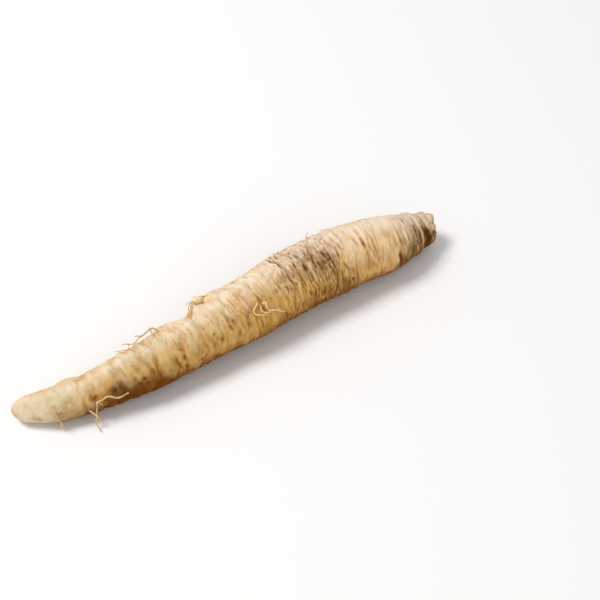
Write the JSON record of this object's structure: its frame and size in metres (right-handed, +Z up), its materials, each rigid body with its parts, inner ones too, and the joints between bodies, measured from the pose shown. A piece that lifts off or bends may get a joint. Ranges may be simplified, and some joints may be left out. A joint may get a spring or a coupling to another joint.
{
  "type": "deodeok root",
  "caption": "Fresh deodeok root: a cream, ring-wrinkled spindle taproot with a blunt tip, a dark necked crown with buds, and fine rootlets, lying on its side.",
  "frame": {"origin": "centre of the root's box at the surface it lies on", "axes": "+X along the root from the blunt tip to the crown, +Z up from the surface, +Y towards the back"},
  "size_m": [0.1714, 0.0318, 0.0232],
  "materials": {
    "root_skin": "matt, cream to tan, with fine ring wrinkles and brown creases"
  },
  "bodies": {
    "root": {"deodeok_root": "root_skin"}
  },
  "joints": []
}
